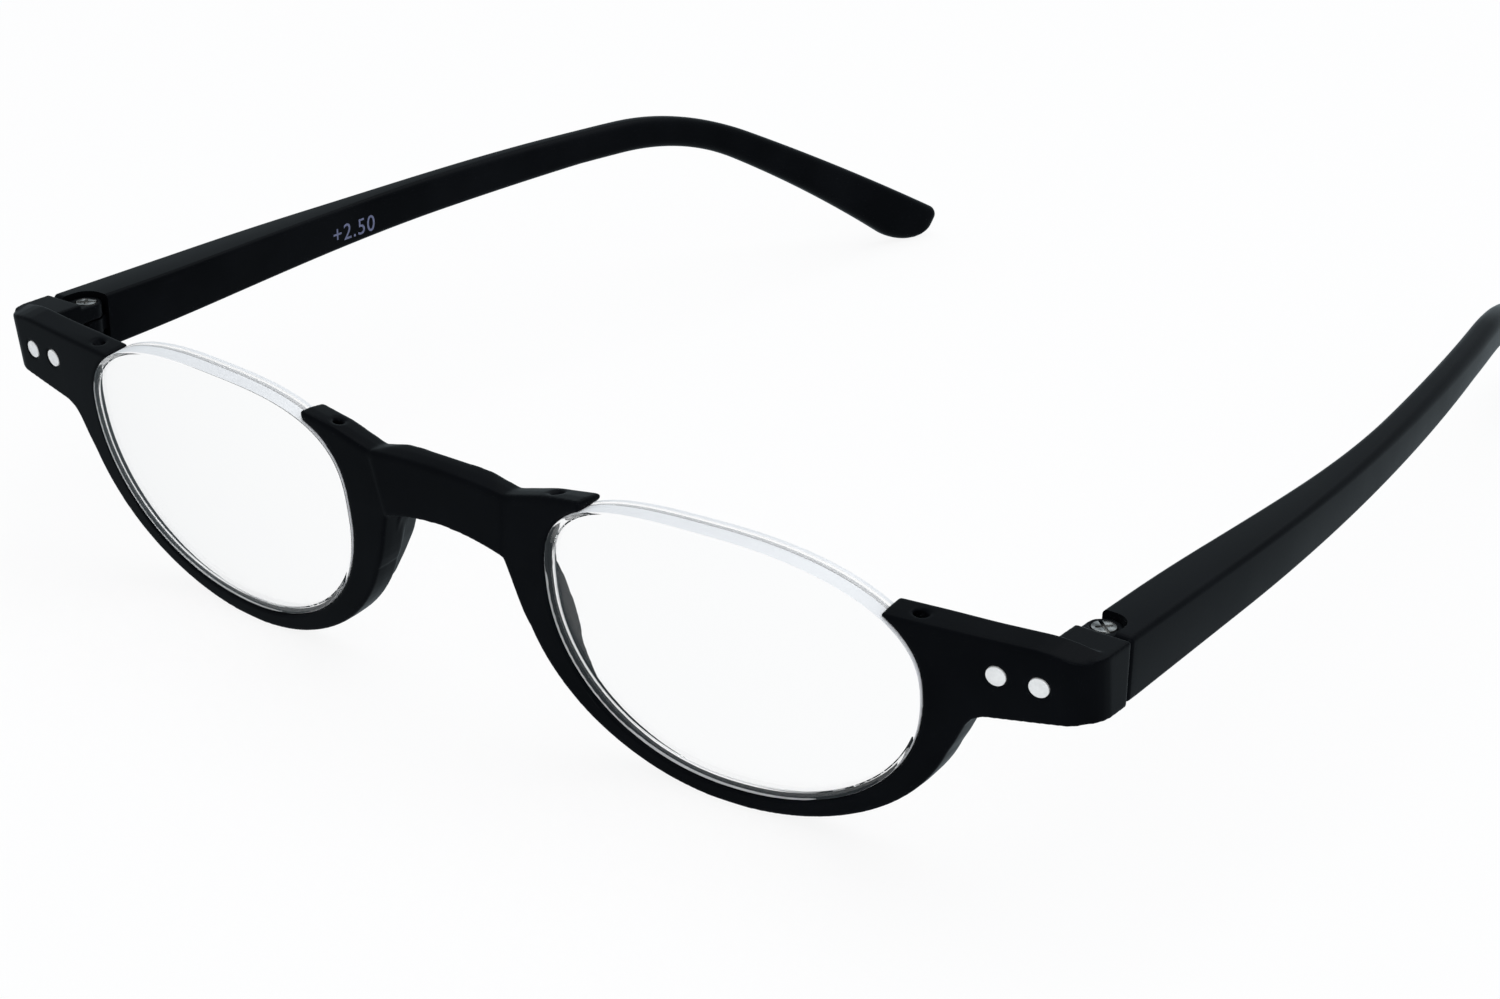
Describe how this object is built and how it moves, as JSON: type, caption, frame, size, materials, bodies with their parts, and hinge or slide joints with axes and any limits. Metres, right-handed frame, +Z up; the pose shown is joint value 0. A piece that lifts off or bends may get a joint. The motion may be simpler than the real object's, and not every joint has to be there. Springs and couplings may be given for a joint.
{
  "type": "half-rim reading glasses",
  "caption": "Half-rim reading glasses: moulded lower rims, bridge and end pieces, clear lenses held from above by a thin cord, and folding temples with a bent ear end.",
  "frame": {"origin": "middle of the underside of the nose bridge", "axes": "+Z up with the open glasses standing on their lower rims and temple tips, +Y from the front along the temples, +X towards the wearer's left"},
  "size_m": [0.129, 0.1488, 0.0279],
  "materials": {
    "frame_plastic": "satin black moulded plastic",
    "temple_plastic": "satin black moulded plastic",
    "lens_plastic": "clear polished plastic lens",
    "cord_nylon": "clear nylon cord",
    "rivet_metal": "dull silver",
    "screw_metal": "nickel plated",
    "insert_brass": "plain brass"
  },
  "bodies": {
    "front": {"front_frame": "frame_plastic", "left_lens": "lens_plastic", "right_lens": "lens_plastic", "left_lens_cord": "cord_nylon", "right_lens_cord": "cord_nylon", "left_outer_rivet": "rivet_metal", "left_inner_rivet": "rivet_metal", "right_outer_rivet": "rivet_metal", "right_inner_rivet": "rivet_metal", "left_threaded_insert": "insert_brass", "right_threaded_insert": "insert_brass", "left_hinge_screw": "screw_metal", "right_hinge_screw": "screw_metal"},
    "left_arm": {"left_temple": "temple_plastic"},
    "right_arm": {"right_temple": "temple_plastic"}
  },
  "joints": [
    {"name": "left_temple_fold", "type": "hinge", "parent": "front", "child": "left_arm", "pos_m": [0.0609, 0.01123, 0.00131], "axis": [0, -0.0067, 1], "range_deg": [0, 86]},
    {"name": "right_temple_fold", "type": "hinge", "parent": "front", "child": "right_arm", "pos_m": [-0.0609, 0.01123, 0.00131], "axis": [0, 0.0067, -1], "range_deg": [0, 80]}
  ]
}
